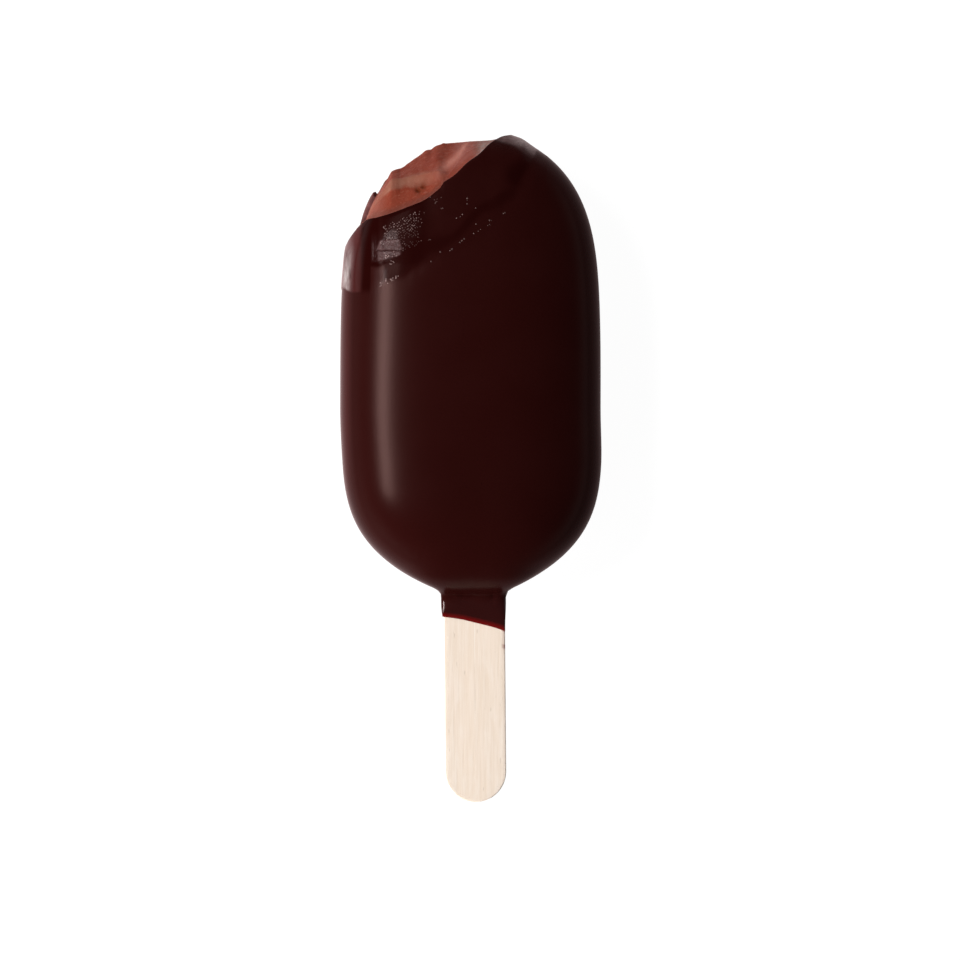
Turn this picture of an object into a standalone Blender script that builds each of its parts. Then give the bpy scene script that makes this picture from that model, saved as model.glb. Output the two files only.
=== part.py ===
"""An ice cream bar on a wooden stick, coated in dark chocolate, with one bite out of its top left corner.

The bar lies on its back. X runs across it, Y along it from the stick to the bitten end, and Z up
through it. The origin is under the middle of the whole length, on the surface that the bar lies on.

Three solids: the chocolate coating, the ice cream inside it, which the bite lays bare, and the stick.
"""

import math

import bmesh
import bpy
import numpy as np
from mathutils import Matrix

MM = 0.001

# The bar's body
BODY_WIDTH = 50.0 * MM
BODY_THICKNESS = 25.0 * MM
BODY_TOP = 65.7 * MM  # where the crown would end if nothing were bitten off
BODY_BOTTOM = -25.55 * MM
FLAT_DEPTH = 0.2 * MM  # how much of the round back is flattened where the bar lies
SECTION_POWER = 2.5  # 2 is an ellipse, more is squarer
LEAN = 0.3 * MM  # how far the foot of the body sits to the right of the crown
LEAN_SPAN = (12.0 * MM, 0.0)

# How each end closes: where the rounding starts, and the two powers that give its curve
CROWN_WIDTH = (-2.25 * MM, 6.37, 1.544)
CROWN_THICKNESS = (36.0 * MM, 2.4, 2.0)
FOOT_WIDTH = (4.63 * MM, 3.157, 1.2)
FOOT_THICKNESS = (-4.0 * MM, 2.4, 1.8)

# The chocolate
WALL = 1.5 * MM
GAP = 0.3 * MM
STICK_GAP = 0.2 * MM
NECK_WALL = 0.35 * MM  # the skin of chocolate that runs down onto the stick
NECK_FILLET = 2.0 * MM
NECK_POWER = 6.0
NECK_SPAN = (-19.0 * MM, -25.5 * MM)  # where the round section turns into the neck's flat one
NECK_SHIFT = 0.7 * MM  # how far the neck's middle is off the crown's
NECK_END = (0.8 * MM, -29.9 * MM)
NECK_SLANT = math.radians(-13.0)

# The stick
STICK_WIDTH = 11.76 * MM
STICK_THICKNESS = 2.1 * MM
STICK_LENGTH = 93.0 * MM
STICK_END = -64.03 * MM
STICK_SHIFT = 0.64 * MM  # how far the stick's middle is off the body's
STICK_TURN = math.radians(0.5)
STICK_EDGE = 0.35 * MM

# The bite: the line that it leaves along the front face and along the back, from left to right
BITE_FRONT = (
    (-30.0, 33.0), (-24.4, 41.1), (-22.8, 44.7), (-20.4, 47.3), (-17.0, 48.2), (-13.1, 49.5),
    (-8.3, 51.7), (-5.5, 54.1), (-0.6, 58.5), (3.8, 62.2), (7.0, 63.9), (12.0, 68.0),
)
BITE_BACK = (
    (-30.0, 33.0), (-24.4, 41.3), (-22.8, 45.0), (-20.4, 48.2), (-18.2, 52.1), (-15.2, 56.9),
    (-12.0, 58.2), (-8.7, 60.7), (-5.4, 62.2), (2.3, 63.0), (7.0, 64.0), (12.0, 68.1),
)
SCOOP_DEPTH = 1.1 * MM  # how deep the teeth went on each side of the ridge across the bite
BITE_LEAST_REACH = 3.0 * MM
BITE_GRID = (27, 16)
BITE_X = (-27.0 * MM, 11.0 * MM)
BITE_Z = (-3.0 * MM, 28.0 * MM)
BITE_CLEAR = 75.0 * MM  # above everything

# How finely the round solids are divided: round the section, and along the bar
COATING_STEPS = (40, 42)
CORE_STEPS = (34, 34)
STICK_STEPS = 40

HALF_WIDTH = BODY_WIDTH / 2
HALF_THICKNESS = BODY_THICKNESS / 2
MIDDLE_Z = HALF_THICKNESS - FLAT_DEPTH
NECK_HALF_WIDTH = STICK_WIDTH / 2 + STICK_GAP + NECK_WALL
NECK_HALF_THICKNESS = STICK_THICKNESS / 2 + STICK_GAP + NECK_WALL
NECK_REACH = -37.0 * MM  # past the slanted end


def blend(low, high, value):
    """0 at low, 1 at high, smooth between them; high may be the smaller one."""
    t = np.clip((value - low) / (high - low), 0, 1)
    return t * t * (3 - 2 * t)


def smooth_max(a, b, width):
    h = np.clip(0.5 + 0.5 * (a - b) / width, 0, 1)
    return b + (a - b) * h + width * h * (1 - h)


def closing(y, end, inset, curve):
    """1 along the body, falling to 0 at one end."""
    start, power, root = curve
    end = end - math.copysign(inset, end - start)
    t = np.clip((y - start) / (end - start), 0, 1)
    return (1 - t**power) ** (1 / root)


def half_width(y, inset):
    crown = closing(y, BODY_TOP, inset, CROWN_WIDTH)
    foot = closing(y, BODY_BOTTOM, inset, FOOT_WIDTH)
    return (HALF_WIDTH - inset) * crown * foot


def half_thickness(y, inset):
    crown = closing(y, BODY_TOP, inset, CROWN_THICKNESS)
    foot = closing(y, BODY_BOTTOM, inset, FOOT_THICKNESS)
    return (HALF_THICKNESS - inset) * crown * foot


def section(y, inset, neck):
    """Half the width, half the thickness and the squareness of the section at y."""
    width = half_width(y, inset)
    thickness = half_thickness(y, inset)
    power = SECTION_POWER
    if neck:
        width = smooth_max(width, NECK_HALF_WIDTH, NECK_FILLET)
        thickness = smooth_max(thickness, NECK_HALF_THICKNESS, NECK_FILLET)
        power = SECTION_POWER + (NECK_POWER - SECTION_POWER) * blend(*NECK_SPAN, y)
    return width, thickness, power


def middle_x(y):
    """The bar leans a little to the right towards its foot, and its neck sits further over still."""
    return LEAN * blend(*LEAN_SPAN, y) + (NECK_SHIFT - LEAN) * blend(*NECK_SPAN, y)


def stations(inset, neck, rows):
    """Places along the bar, evenly spaced along its outline."""
    start = NECK_REACH if neck else BODY_BOTTOM + inset
    y = np.linspace(start, BODY_TOP - inset, 4000)
    width, thickness, _ = section(y, inset, neck)
    steps = np.sqrt(np.diff(y) ** 2 + np.diff(width) ** 2 + np.diff(thickness) ** 2)
    run = np.concatenate(([0], np.cumsum(steps)))
    return np.interp(np.linspace(0, run[-1], rows + 1), run, y)


def rounded(cosine, power):
    return math.copysign(abs(cosine) ** (2 / power), cosine)


def add_object(name, mesh, collection, material=None):
    part = bpy.data.objects.new(name, mesh)
    collection.objects.link(part)
    if material:
        mesh.materials.append(material)
    return part


def mesh_from(bm, name):
    bmesh.ops.recalc_face_normals(bm, faces=bm.faces)
    mesh = bpy.data.meshes.new(name)
    bm.to_mesh(mesh)
    bm.free()
    mesh.shade_smooth()
    mesh.set_sharp_from_angle(angle=math.radians(40))
    return mesh


def body_mesh(name, inset, steps, neck=False):
    """A ball drawn out into the bar: its poles lie at the bar's two ends."""
    around, rows = steps
    places = stations(inset, neck, rows)
    bm = bmesh.new()
    bmesh.ops.create_uvsphere(bm, u_segments=around, v_segments=rows, radius=1)
    for vert in bm.verts:
        row = round(math.acos(max(-1, min(1, -vert.co.z))) / math.pi * rows)
        y = places[row]
        width, thickness, power = section(y, inset, neck)
        if row in (0, rows):
            width = thickness = 0
        angle = math.atan2(vert.co.y, vert.co.x)
        vert.co.x = middle_x(y) + width * rounded(math.cos(angle), power)
        vert.co.z = MIDDLE_Z - thickness * rounded(math.sin(angle), power)
        vert.co.y = y
    return mesh_from(bm, name)


def stick_mesh(name, spare):
    """A flat disc pulled apart into two half-round ends, with its middle at the origin."""
    radius = STICK_WIDTH / 2 + spare
    reach = STICK_LENGTH / 2 + spare - radius
    half_step = math.pi / STICK_STEPS
    bm = bmesh.new()
    bmesh.ops.create_cone(
        bm, cap_ends=True, segments=STICK_STEPS, radius1=radius, radius2=radius,
        depth=STICK_THICKNESS + 2 * spare,
    )
    bmesh.ops.rotate(bm, verts=bm.verts, matrix=Matrix.Rotation(half_step, 3, "Z"))
    for vert in bm.verts:
        vert.co.x /= math.cos(half_step)
        vert.co.y += math.copysign(reach, vert.co.y)
    return mesh_from(bm, name)


def place_stick(part):
    part.location = (STICK_SHIFT, STICK_END + STICK_LENGTH / 2, MIDDLE_Z)
    part.rotation_euler = (0, 0, STICK_TURN)


def local_reach(x, y):
    """How far the bar reaches in front of and behind its middle at one place, or a little if it doesn't."""
    width = half_width(y, 0)
    fullness = max(1 - (abs(x) / max(width, MM)) ** SECTION_POWER, 0)
    return max(half_thickness(y, 0) * fullness ** (1 / SECTION_POWER), BITE_LEAST_REACH)


def bite_height(x, z):
    """How high along the bar the bite leaves it: lowest at the left and at the front."""
    front = np.interp(x / MM, *zip(*BITE_FRONT)) * MM
    back = np.interp(x / MM, *zip(*BITE_BACK)) * MM
    front_z = MIDDLE_Z + local_reach(x, front)
    back_z = MIDDLE_Z - local_reach(x, back)
    depth = min(max((front_z - z) / (front_z - back_z), 0), 1)
    return front + (back - front) * depth - SCOOP_DEPTH * abs(math.sin(2 * math.pi * depth))


def bite_mesh(name):
    """A sheet bent to the bitten surface, drawn up into a block that takes away all above it."""
    columns, rows = BITE_GRID
    bm = bmesh.new()
    bmesh.ops.create_grid(bm, x_segments=columns, y_segments=rows, size=0.5)
    spans = [(low, high - low) for low, high in (BITE_X, BITE_Z)]
    for vert in bm.verts:
        x = spans[0][0] + spans[0][1] * (vert.co.x + 0.5)
        z = spans[1][0] + spans[1][1] * (vert.co.y + 0.5)
        vert.co = (x, bite_height(x, z), z)
    drawn = bmesh.ops.extrude_face_region(bm, geom=bm.faces[:], use_keep_orig=True)
    for item in drawn["geom"]:
        if isinstance(item, bmesh.types.BMVert):
            item.co.y = BITE_CLEAR
    return mesh_from(bm, name)


def box_mesh(name, size):
    bm = bmesh.new()
    bmesh.ops.create_cube(bm, size=1)
    bmesh.ops.scale(bm, vec=size, verts=bm.verts)
    return mesh_from(bm, name)


def cutter(name, mesh, collection):
    part = add_object(name, mesh, collection)
    part.hide_render = True
    part.display_type = "WIRE"
    return part


def make_cutters(collection):
    cavity = cutter("cavity_cutter", body_mesh("cavity_cutter", WALL, COATING_STEPS), collection)
    bite = cutter("bite_cutter", bite_mesh("bite_cutter"), collection)
    slot = cutter("slot_cutter", stick_mesh("slot_cutter", STICK_GAP), collection)
    place_stick(slot)
    wide_slot = cutter("wide_slot_cutter", stick_mesh("wide_slot_cutter", GAP), collection)
    place_stick(wide_slot)
    block = (60 * MM, 20 * MM, 20 * MM)
    neck_end = cutter("neck_end_cutter", box_mesh("neck_end_cutter", block), collection)
    x, y = NECK_END
    drop = block[1] / 2
    neck_end.location = (x + drop * math.sin(NECK_SLANT), y - drop * math.cos(NECK_SLANT), MIDDLE_Z)
    neck_end.rotation_euler = (0, 0, NECK_SLANT)
    slab = (80 * MM, 160 * MM, 10 * MM)
    ground = cutter("ground_cutter", box_mesh("ground_cutter", slab), collection)
    ground.location = (0, 0, -slab[2] / 2)
    return cavity, bite, slot, wide_slot, neck_end, ground


def cut(part, *cutters):
    for tool in cutters:
        change = part.modifiers.new(tool.name, "BOOLEAN")
        change.operation = "DIFFERENCE"
        change.solver = "EXACT"
        change.object = tool


def make_material(name, colour, roughness):
    material = bpy.data.materials.new(name)
    material.use_nodes = True
    shader = material.node_tree.nodes["Principled BSDF"]
    shader.inputs["Base Color"].default_value = (*colour, 1)
    shader.inputs["Roughness"].default_value = roughness
    shader.inputs["Metallic"].default_value = 0
    return material


def new_collection(name):
    collection = bpy.data.collections.new(name)
    bpy.context.scene.collection.children.link(collection)
    return collection


def make_coating(collection, cavity, bite, slot, neck_end, ground):
    chocolate = make_material("dark_chocolate", (0.022, 0.006, 0.005), 0.35)
    mesh = body_mesh("chocolate_coating", 0, COATING_STEPS, neck=True)
    coating = add_object("chocolate_coating", mesh, collection, chocolate)
    cut(coating, cavity, slot, neck_end, ground, bite)


def make_core(collection, bite, wide_slot):
    ice_cream = make_material("chocolate_ice_cream", (0.27, 0.09, 0.06), 0.45)
    mesh = body_mesh("ice_cream", WALL + GAP, CORE_STEPS)
    core = add_object("ice_cream", mesh, collection, ice_cream)
    cut(core, wide_slot, bite)


def make_stick(collection):
    wood = make_material("pale_wood", (0.9, 0.77, 0.63), 0.6)
    stick = add_object("stick", stick_mesh("stick", 0), collection, wood)
    place_stick(stick)
    edge = stick.modifiers.new("softened_edges", "BEVEL")
    edge.width = STICK_EDGE
    edge.segments = 2
    edge.limit_method = "ANGLE"
    edge.angle_limit = math.radians(40)


def main():
    for old in list(bpy.data.objects):
        bpy.data.objects.remove(old, do_unlink=True)
    bar = new_collection("ice_cream_bar")
    cutters = new_collection("cutters")
    cavity, bite, slot, wide_slot, neck_end, ground = make_cutters(cutters)
    make_coating(bar, cavity, bite, slot, neck_end, ground)
    make_core(bar, bite, wide_slot)
    make_stick(bar)


main()
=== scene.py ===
"""The looks of an ice cream bar with one bite gone: dark chocolate over ice cream, on a wooden stick.

The bar lies on its back with the camera above it. X runs across it, Y along it from the stick to the
bite, and Z up through it. The formulas below are in millimetres, and MM turns them into metres.
"""

import math

import bmesh
import bpy
import numpy as np
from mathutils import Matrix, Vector, noise


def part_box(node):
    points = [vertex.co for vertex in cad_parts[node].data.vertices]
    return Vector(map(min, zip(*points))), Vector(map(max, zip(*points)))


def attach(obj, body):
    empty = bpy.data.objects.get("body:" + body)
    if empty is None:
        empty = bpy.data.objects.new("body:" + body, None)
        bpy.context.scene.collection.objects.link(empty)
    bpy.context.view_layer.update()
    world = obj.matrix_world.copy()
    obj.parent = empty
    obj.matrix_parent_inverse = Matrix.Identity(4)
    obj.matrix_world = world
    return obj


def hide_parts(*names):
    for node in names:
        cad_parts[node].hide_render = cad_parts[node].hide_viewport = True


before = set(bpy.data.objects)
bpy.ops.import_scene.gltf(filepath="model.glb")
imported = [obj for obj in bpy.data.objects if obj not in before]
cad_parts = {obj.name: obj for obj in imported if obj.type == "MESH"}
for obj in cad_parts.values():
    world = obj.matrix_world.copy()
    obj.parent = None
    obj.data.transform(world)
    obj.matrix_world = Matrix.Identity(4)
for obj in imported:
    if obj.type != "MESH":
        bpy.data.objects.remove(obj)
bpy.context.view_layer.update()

MM = 0.001


def box_in_mm(node):
    return [np.array(corner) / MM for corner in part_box(node)]


# Sizes that the frame gives
COAT_LOW, COAT_HIGH = box_in_mm("chocolate_coating")
STICK_LOW, STICK_HIGH = box_in_mm("stick")
STICK_MIDDLE = (STICK_LOW + STICK_HIGH) / 2
MIDDLE_Z = STICK_MIDDLE[2]
HALF_WIDTH = -COAT_LOW[0]
HALF_THICKNESS = COAT_HIGH[2] - MIDDLE_Z
STICK_HALF_THICKNESS = (STICK_HIGH[2] - STICK_LOW[2]) / 2
STICK_LENGTH = STICK_HIGH[1] - STICK_LOW[1]

# The form of the body, as in the frame. Its ends close in curves: where each starts, its power and its root
BODY_TOP = 65.85
BODY_BOTTOM = -25.55
SECTION_POWER = 2.5
CROWN_WIDTH = (-2.25, 6.37, 1.544)
CROWN_THICKNESS = (36.0, 2.4, 2.0)
FOOT_WIDTH = (12.0, 4.1, 1.15)
FOOT_THICKNESS = (-4.0, 2.4, 1.8)
FOOT_THICKNESS_END = -24.4
LEAN = 0.3
LEAN_SPAN = (12.0, 0.0)
WALL = 1.5

# The stick, and the skin of chocolate that runs down onto it
STICK_HALF_WIDTH = 5.88
STICK_TURN = math.radians(0.5)
NECK_MIDDLE = 0.58
NECK_SPAN = (-19.0, -25.5)
NECK_FILLET = 1.7
NECK_THINNING = (-26.0, -30.5)
NECK_SQUARING = (-26.6, -28.6)
NECK_POWER = 5.0
STICK_POWER = 16.0
NECK_FILM = (0.36, 0.06)
NECK_END = (-5.07, -28.5)
NECK_END_SLOPE = 0.103
NECK_END_CURVE = 0.011

# The inner faces. The filling reaches a little into the shell, so they touch along most of the wall
SHELL_INSIDE = WALL + 0.15
SHELL_FOOT = -21.5
FILLING_INSET = WALL + 0.03
FILLING_FOOT = -21.3

# The bite: the chocolate's edge in front and behind, and the ice cream's far edge
FRONT_EDGE = (
    (-30.0, 31.0), (-26.0, 36.6), (-24.4, 41.1), (-22.8, 44.6), (-21.5, 46.35), (-20.3, 47.4),
    (-18.1, 47.95), (-15.0, 48.85), (-12.0, 49.95), (-8.3, 51.6), (-5.5, 53.8), (-3.1, 55.4), (-0.6, 57.8),
    (1.7, 59.5), (3.8, 61.6), (4.9, 62.3), (5.7, 62.75), (6.4, 63.0), (7.2, 63.15), (8.0, 63.35),
    (9.0, 64.2), (14.0, 70.0),
)
NOTCH_X = -5.45
NOTCH_STEP = 0.65
BACK_EDGE = (
    (-30.0, 31.0), (-26.0, 36.6), (-24.4, 41.1), (-22.8, 44.6), (-21.8, 46.3), (-21.3, 47.2),
    (-21.15, 48.6), (-20.95, 50.2), (-20.3, 51.7), (-19.4, 52.8), (-18.6, 53.2), (-18.1, 53.0),
    (-17.5, 52.4), (-16.4, 52.9), (-14.0, 55.2), (-11.0, 57.4), (-8.0, 59.8), (-5.0, 61.3), (-2.0, 62.1),
    (0.6, 62.6), (2.6, 62.95), (4.1, 63.15), (4.9, 63.3), (5.7, 63.5), (6.4, 63.7), (7.2, 63.85),
    (8.0, 64.0), (9.0, 64.6), (14.0, 70.6),
)
FAR_EDGE = (
    (-30.0, 31.0), (-26.0, 36.6), (-24.4, 41.0), (-22.8, 44.5), (-21.5, 45.9), (-20.2, 47.3),
    (-19.75, 48.7), (-19.35, 49.9), (-18.75, 51.3), (-18.0, 52.65), (-16.9, 54.3), (-16.0, 55.7),
    (-15.3, 56.95), (-14.4, 57.5), (-13.4, 57.75), (-12.2, 58.45), (-11.1, 59.35), (-10.0, 60.1),
    (-8.7, 60.95), (-7.7, 61.4), (-6.7, 62.0), (-5.4, 62.4), (-4.2, 62.55), (-2.9, 62.65), (0.0, 62.9),
    (2.3, 63.0), (3.8, 63.1), (5.3, 63.3), (7.8, 63.9), (10.0, 65.5), (14.0, 70.5),
)

# The ridge between the two tooth marks: how deep it lies, and how high up the bite
RIDGE_DEPTH = (
    (-24.0, 0.50), (-15.0, 0.46), (-9.0, 0.36), (-5.5, 0.12), (-3.9, 0.14), (-1.4, 0.34), (1.0, 0.42),
    (7.0, 0.5),
)
RIDGE_RISE = (
    (-24.0, 0.50), (-15.2, 0.56), (-12.5, 0.47), (-10.0, 0.35), (-7.4, 0.22), (-5.5, 0.10), (-3.9, 0.16),
    (-2.9, 0.30), (-1.4, 0.50), (1.0, 0.60), (7.0, 0.60),
)
RIDGE_STEP = 0.17

# How far under the body's surface the bitten face ends: left and right, in front, and behind
CAP_END_INSET = 0.75
CAP_FRONT_INSET = 0.95
CAP_BACK_INSET = 0.40

# Two pits in the near tooth mark (x, y, spread), and how far up the bite its painted highlight streak runs
PITS = ((-9.95, 53.4, 0.42), (-9.1, 54.1, 0.34))
STREAK_LINE = (
    (-8.0, 0.44), (-6.6, 0.4), (-5.0, 0.41), (-3.5, 0.48), (-2.0, 0.62), (-1.4, 0.78), (-0.5, 0.95),
)

# The wet band next to the bite, where the lips were, and its lower edge
LIP_EDGE = (
    (-30.0, 34.0), (-24.4, 34.3), (-23.3, 33.9), (-20.8, 33.6), (-18.9, 33.9), (-17.3, 34.9), (-15.4, 35.4),
    (-13.9, 36.1), (-11.5, 37.9), (-7.6, 40.0), (-5.5, 41.2), (-3.0, 41.9), (-0.6, 43.2), (1.3, 44.3),
    (3.4, 46.1), (5.7, 48.8), (8.0, 51.5), (9.6, 54.3), (11.4, 58.0), (12.8, 61.1), (14.5, 68.0),
)
LIP_DEPTH = 0.12
LIP_GROOVE = 0.12
RIM_ROUNDING = (0.12, 0.9)
RIM_STEPS = ((1.15, 0.65), (1.0, 0.2), (0.8, 0.05), (0.4, 0.0), (0.12, 0.0))

# Marks in the band: where its dull middle with painted shade runs and how wide it is, the crown's upper edge,
# and pale lines of painted highlight round the wet patch and creases in it (from x, y to x, y, how wide, how
# strong)
DULL_LINE = ((-14.0, 39.0), (-9.5, 41.6), (-3.0, 44.0), (1.0, 48.7), (6.5, 51.7), (11.0, 52.7))
DULL_WIDTH = ((-14.0, 3.2), (-8.0, 2.4), (-5.0, 1.2), (4.0, 1.2), (9.0, 2.2))
CROWN_LINE = ((3.0, 62.4), (5.0, 63.5), (7.0, 64.0), (8.4, 63.8), (10.3, 63.1), (11.8, 62.0), (12.8, 61.2))
PALE_LINES = (
    (-17.3, 43.3, -18.0, 41.6, 0.13, 1.0),
    (-17.2, 43.4, -13.7, 43.6, 0.13, 1.0),
    (-13.6, 43.5, -13.1, 41.7, 0.13, 1.0),
    (-18.7, 39.8, -18.7, 43.2, 0.1, 0.5),
)
CREASES = ((-17.6, 41.5, -13.1, 41.9, 0.16, 1.0), (-18.6, 38.9, -16.6, 39.2, 0.4, 0.6))

# Small groups of tiny drops on the wet band: x, y, how widely they stray, and how many
SPECK_GROUPS = (
    (-7.0, 50.7, 0.4, 4), (-5.8, 51.6, 0.2, 2), (-7.8, 51.7, 0.1, 1), (-5.6, 49.7, 0.2, 2),
    (-0.7, 51.3, 0.15, 2), (-0.7, 50.5, 0.1, 1), (-1.8, 48.2, 0.15, 2), (-2.6, 47.6, 0.1, 1),
    (0.9, 49.7, 0.2, 2), (1.0, 46.5, 0.08, 2), (1.8, 45.1, 0.3, 4), (4.0, 47.6, 0.2, 2),
    (3.7, 46.7, 0.1, 1), (3.8, 45.6, 0.15, 3), (6.4, 48.6, 0.1, 2), (1.4, 43.2, 0.08, 2),
    (-0.7, 42.3, 0.3, 4), (-3.0, 41.4, 0.15, 2), (-3.3, 40.6, 0.1, 1), (-2.5, 40.3, 0.1, 1),
    (-6.0, 41.2, 0.08, 1), (-7.4, 39.4, 0.08, 1), (-7.7, 43.5, 0.1, 2), (-16.9, 35.0, 0.15, 4),
    (-16.2, 35.6, 0.2, 5), (-14.9, 36.0, 0.2, 4), (-14.0, 36.4, 0.25, 5), (-15.2, 39.5, 0.35, 7),
    (-16.4, 46.0, 0.2, 5), (-15.9, 40.6, 0.35, 6), (-14.2, 40.8, 0.3, 4), (-17.2, 42.9, 0.1, 2),
)
SPECK_SIDES = 10
SPECK_HEIGHT = 0.32
SPECK_RINGS = (0.45, 0.8, 1.05)

# How finely the pieces are divided
COAT_COLUMNS = (262, 90)
COLUMN_CROWDING = 0.75
TIGHT_COLUMNS = (201.0, 207.0, 50)
TIP_EASE = 5
LIP_ROWS = (130, 15.0)
ROW_CROWDING = 1.15
BODY_ROWS = 82
SEARCH_STEPS = 1500
BITE_GRID = (300, 150)
BITE_LIMIT = 9.0
LEAST_REACH = 0.25

# The studio, in metres: a narrow lamp at the left, a fill, walls that shine, and the floor
LAMP_PLACE = (-0.48, 0.18, 0.64)
LAMP_SIZE = (0.57, 0.135)
LAMP_SHINE = 30.0
LAMP_TARGET = (0, 0.02, 0.012)
FILL_PLACE = (-0.62, -0.52, 0.16)
FILL_SIZE = (0.6, 0.3)
FILL_SHINE = 15.0
WALL_LIGHT = 0.80
WALL_LIGHT_SIDE = 0.55
WALL_TOP = (0.02, -0.2)
GLOW_LIGHT = (0.7, 0.5)
GLOW_TOP = (0.5, 0.1)
CEILING_LIGHT = 0.05
FLOOR_SIZE = 6.0

# The camera straight above, in millimetres
FAR_CAMERA = 400.0
SENSOR = 36.0
VIEW_WIDTH = 184.2
VIEW_CENTRE = (1.84, -2.25)


# ---- small tools ----

def blend(low, high, value):
    """0 at low, 1 at high, smooth between them; high may be the smaller one."""
    t = np.clip((value - low) / (high - low), 0, 1)
    return t * t * (3 - 2 * t)


def span(value, start, full, fading, end):
    """1 from full to fading, smooth down to 0 at start and at end."""
    return blend(start, full, value) * blend(end, fading, value)


def smooth_max(a, b, width):
    """The larger of the two, with a fillet where they cross."""
    h = np.clip(0.5 + 0.5 * (a - b) / width, 0, 1)
    return b + (a - b) * h + width * h * (1 - h)


def smooth_line(points):
    """A function of x that runs through the points with no corners."""
    x, y = np.array(points, float).T
    slope = np.gradient(y, x)

    def height(at):
        at = np.clip(at, x[0], x[-1])
        i = np.clip(np.searchsorted(x, at) - 1, 0, len(x) - 2)
        step = x[i + 1] - x[i]
        t = (at - x[i]) / step
        start = (1 + 2 * t) * (1 - t) ** 2 * y[i] + t * (1 - t) ** 2 * step * slope[i]
        end = t * t * (3 - 2 * t) * y[i + 1] + t * t * (t - 1) * step * slope[i + 1]
        return start + end

    return height


def straight_lines(points, at):
    """The height at a place of the straight lines that join the points."""
    return np.interp(at, *np.transpose(points))


def hill(x, middle, width):
    """1 in the middle, falling to 0 on both sides."""
    return np.exp(-(((x - middle) / width) ** 2))


def relief(points, size, seed=0):
    """Smooth random height, about -1 to 1, whose bumps are about size millimetres across."""
    flat = points.reshape(-1, 3) / size + 17.3 * seed
    heights = [noise.noise(Vector(place)) for place in flat.tolist()]
    return np.array(heights).reshape(points.shape[:-1])


front_edge_base = smooth_line(FRONT_EDGE)
back_edge = smooth_line(BACK_EDGE)
far_edge = smooth_line(FAR_EDGE)
lip_edge = smooth_line(LIP_EDGE)
ridge_depth = smooth_line(RIDGE_DEPTH)
ridge_rise = smooth_line(RIDGE_RISE)


def front_edge(x):
    """The chocolate's edge along the front, with a small step where two tooth marks meet."""
    return front_edge_base(x) + NOTCH_STEP * blend(NOTCH_X - 0.2, NOTCH_X + 0.2, x)


def crumbled(x):
    """How the ice cream's far edge departs from its smooth line: a small ledge and a few nubs."""
    ledge = 0.15 * span(x, -9.4, -8.8, -8.5, -7.5)
    return ledge + 0.14 * hill(x, -5.2, 0.35) + 0.12 * hill(x, -12.1, 0.5) - 0.12 * hill(x, -7.5, 0.4)


# ---- the form of the bar ----

def closing(y, end, inset, curve):
    """1 along the body, falling to 0 at one end."""
    start, power, root = curve
    end = end - np.sign(end - start) * inset
    t = np.clip((y - start) / (end - start), 0, 1)
    return (1 - t**power) ** (1 / root)


def body_section(y, inset):
    """Half the width and half the thickness of the body at y, inset millimetres under its surface."""
    width = closing(y, BODY_TOP, inset, CROWN_WIDTH) * closing(y, BODY_BOTTOM, inset, FOOT_WIDTH)
    thickness = closing(y, BODY_TOP, inset, CROWN_THICKNESS)
    thickness = thickness * closing(y, FOOT_THICKNESS_END, inset, FOOT_THICKNESS)
    return (HALF_WIDTH - inset) * width, (HALF_THICKNESS - inset) * thickness


def stick_x(y):
    return STICK_MIDDLE[0] - (y - STICK_MIDDLE[1]) * math.tan(STICK_TURN)


def neck_film(y):
    """How thick the chocolate is on the stick: thick by the body, thin at its end."""
    thick, thin = NECK_FILM
    return thick + (thin - thick) * blend(*NECK_THINNING, y)


def body_x(y):
    return LEAN * blend(*LEAN_SPAN, y)


def neck_x(y):
    return NECK_MIDDLE + (stick_x(y) - NECK_MIDDLE) * blend(*NECK_THINNING, y)


def rounded(cosine, power):
    """Bends a circle's sine or cosine into a squarer outline's."""
    return np.sign(cosine) * np.abs(cosine) ** (2 / power)


def on_section(middle_x, y, angle, width, thickness, power):
    x = middle_x + width * rounded(np.cos(angle), power)
    z = MIDDLE_Z + thickness * rounded(np.sin(angle), power)
    return np.stack(np.broadcast_arrays(x, y, np.maximum(z, 0.0)), axis=-1)


def on_body(y, angle, inset):
    width, thickness = body_section(y, inset)
    return on_section(body_x(y), y, angle, width, thickness, SECTION_POWER)


def on_coating(y, angle):
    """The chocolate's outer surface: the body, and the neck that flows out of it onto the stick."""
    width, thickness = body_section(y, 0)
    width = smooth_max(width, STICK_HALF_WIDTH + neck_film(y), NECK_FILLET)
    thickness = smooth_max(thickness, STICK_HALF_THICKNESS + neck_film(y), NECK_FILLET)
    to_neck = blend(*NECK_SPAN, y)
    power = SECTION_POWER + (NECK_POWER - SECTION_POWER) * to_neck
    power = power + (STICK_POWER - NECK_POWER) * blend(*NECK_SQUARING, y)
    middle = body_x(y) + (neck_x(y) - body_x(y)) * to_neck
    return on_section(middle, y, angle, width, thickness, power)


def on_stick(y, angle, spare):
    width = STICK_HALF_WIDTH + spare
    return on_section(stick_x(y), y, angle, width, STICK_HALF_THICKNESS + spare, STICK_POWER)


def neck_end(x):
    """Where the chocolate on the stick ends: a slanting line that sags to the right."""
    along = x - NECK_END[0]
    return NECK_END[1] - NECK_END_SLOPE * along - NECK_END_CURVE * along**2


# ---- mesh making ----

def numbered(rows, columns):
    return np.arange(rows * columns).reshape(rows, columns)


def grid_faces(index, closed_rows=False, closed_columns=False):
    """Four-sided faces over a grid of point numbers, which may close on itself either way."""
    if closed_rows:
        index = np.vstack([index, index[:1]])
    if closed_columns:
        index = np.hstack([index, index[:, :1]])
    corners = (index[:-1, :-1], index[:-1, 1:], index[1:, 1:], index[1:, :-1])
    return np.stack([corner.ravel() for corner in corners], axis=1)


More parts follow.
